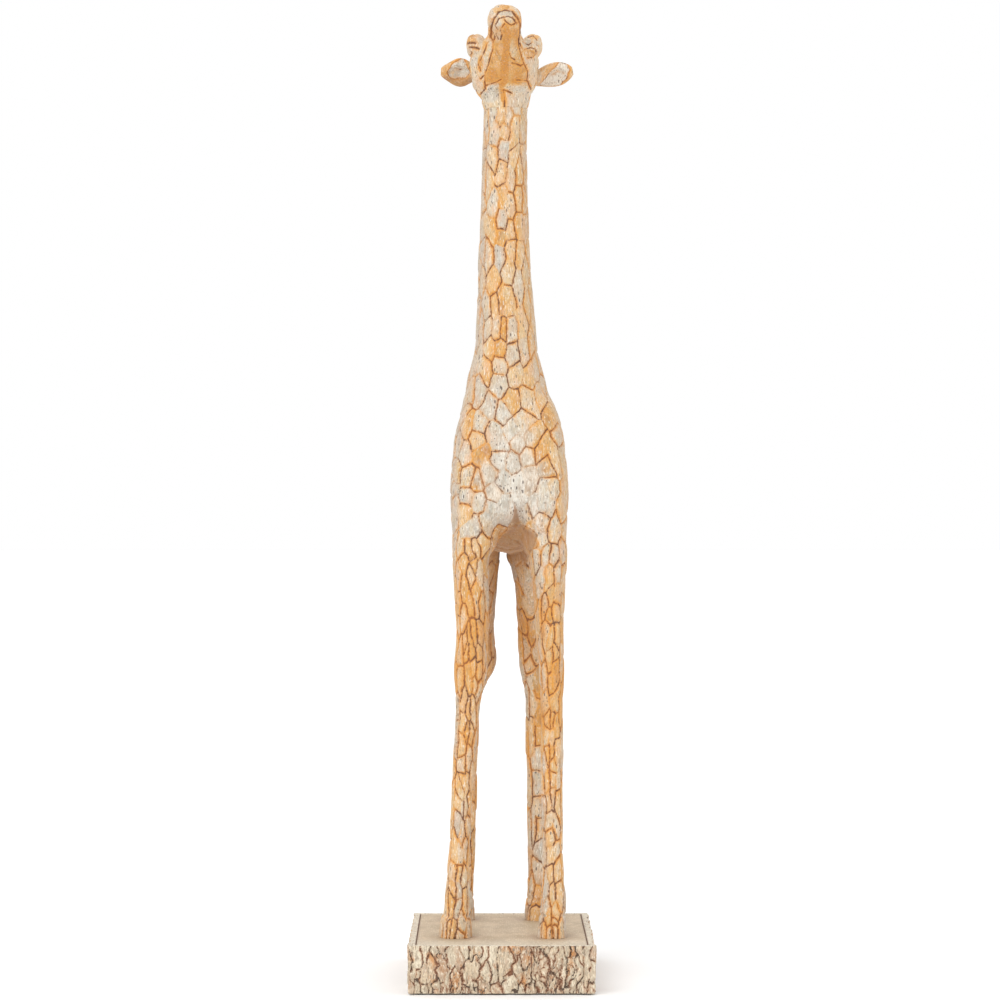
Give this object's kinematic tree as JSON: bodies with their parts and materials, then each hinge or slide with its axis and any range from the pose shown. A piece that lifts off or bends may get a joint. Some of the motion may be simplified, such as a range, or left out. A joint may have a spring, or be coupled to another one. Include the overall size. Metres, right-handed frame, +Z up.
{
  "type": "carved giraffe statue",
  "caption": "Standing carved wooden giraffe with a raised head, patch relief all over, screwed to a rectangular plinth faced with bark.",
  "frame": {"origin": "centre of the plinth's underside, on the surface that the statue stands on", "axes": "+Z up, the giraffe faces -Y, its left side is at +X"},
  "size_m": [0.19, 0.28, 1.0059],
  "materials": {
    "carved_wood": "whitewashed over orange stain, matte",
    "plinth_wood": "sanded, limed, matte",
    "bark": "rough dry-brushed bark",
    "felt": "short nap felt",
    "steel": "zinc plated",
    "dowel_wood": "plain beech"
  },
  "bodies": {
    "root": {"base_block": "plinth_wood", "bark_slab_front": "bark", "bark_slab_back": "bark", "bark_slab_left": "bark", "bark_slab_right": "bark", "base_felt": "felt", "hoof_screws": "steel", "front_leg_left": "carved_wood", "front_leg_right": "carved_wood", "rear_leg_left": "carved_wood", "rear_leg_right": "carved_wood", "leg_dowels": "dowel_wood", "torso": "carved_wood", "tail": "carved_wood", "neck_dowel": "dowel_wood", "neck": "carved_wood", "head_dowel": "dowel_wood", "head": "carved_wood", "ear_left": "carved_wood", "ear_right": "carved_wood", "ossicone_left": "carved_wood", "ossicone_right": "carved_wood"}
  },
  "joints": []
}
